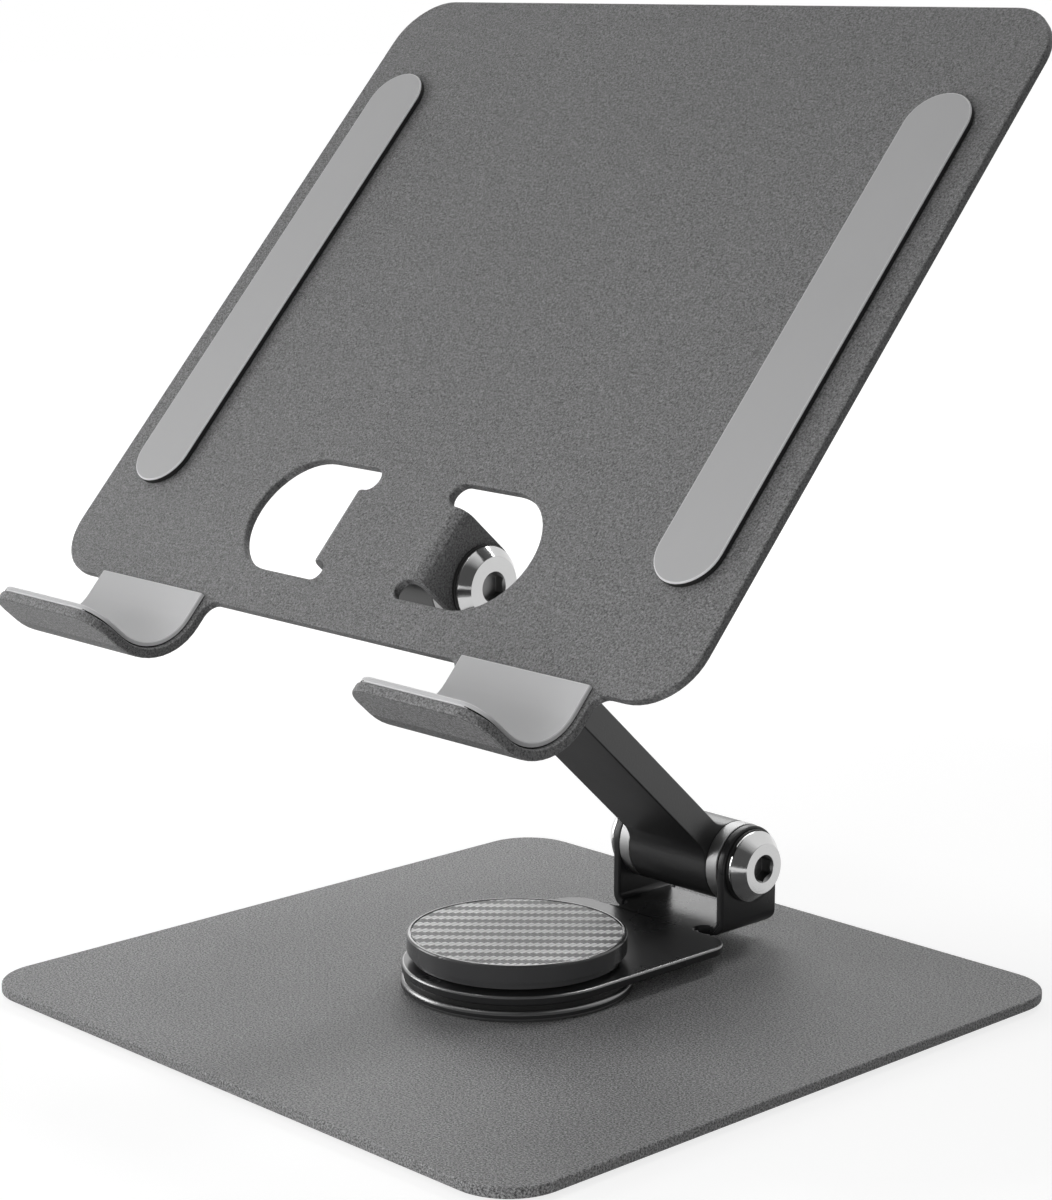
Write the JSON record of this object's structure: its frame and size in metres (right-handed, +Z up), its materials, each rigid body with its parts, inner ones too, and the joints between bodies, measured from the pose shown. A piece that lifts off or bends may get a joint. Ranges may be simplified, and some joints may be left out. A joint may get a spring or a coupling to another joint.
{
  "type": "tablet stand",
  "caption": "Folding tablet stand: square base, swivel bracket, friction-hinged arm and reclined plate with two padded hooks and side strips.",
  "frame": {"origin": "on the table, under the middle of the base; the swivel axis stands 1 mm in front of it", "axes": "+Z up, -Y is the front that the tablet faces, +X is the viewer's right seen from the front"},
  "size_m": [0.1806, 0.16, 0.2028],
  "materials": {
    "grey_coat": "fine-grained grey powder coat on steel sheet",
    "black_coat": "satin black coat on steel sheet",
    "black_bar": "satin black coat on an aluminium bar",
    "polished_steel": "polished steel",
    "plain_steel": "plain zinc-plated steel",
    "washer_grey": "satin light grey",
    "washer_black": "satin black",
    "bush_white": "satin off-white bearing plastic",
    "cap_black": "glossy black",
    "inlay_weave": "glossy, with a woven stripe pattern",
    "grey_silicone": "matte grey silicone",
    "black_rubber": "matte black rubber"
  },
  "bodies": {
    "base": {"base_plate": "grey_coat", "base_feet": "black_rubber", "turntable_disc": "black_coat", "swivel_washer": "washer_black", "pivot_bush": "bush_white", "pivot_screw": "plain_steel", "clamp_washer": "washer_black", "clamp_disc": "plain_steel", "wave_washer": "plain_steel", "pivot_nut": "plain_steel", "hub_cap": "cap_black", "cap_inlay": "inlay_weave"},
    "swivel": {"swivel_bracket": "black_coat", "lower_hinge_shaft": "plain_steel", "lower_hinge_bolts": "polished_steel", "lower_bolt_washers": "washer_black"},
    "arm": {"arm": "black_bar", "lower_hinge_bush": "bush_white", "upper_hinge_bush": "bush_white", "lower_friction_washers": "washer_grey", "upper_friction_washers": "washer_grey"},
    "tray": {"tablet_plate": "grey_coat", "upper_hinge_shaft": "plain_steel", "upper_hinge_bolts": "polished_steel", "upper_bolt_washers": "washer_black", "strip_pads": "grey_silicone", "hook_liners": "grey_silicone"}
  },
  "joints": [
    {"name": "base_swivel", "type": "hinge", "parent": "base", "child": "swivel", "pos_m": [0, -0.001, 0.00765], "axis": [0, 0, 1], "continuous": true},
    {"name": "arm_lift", "type": "hinge", "parent": "swivel", "child": "arm", "pos_m": [0, 0.0527, 0.02125], "axis": [1, 0, 0], "range_deg": [-50, 22]},
    {"name": "tray_tilt", "type": "hinge", "parent": "arm", "child": "tray", "pos_m": [0, -0.02606, 0.09368], "axis": [1, 0, 0], "range_deg": [-60, 42]}
  ]
}
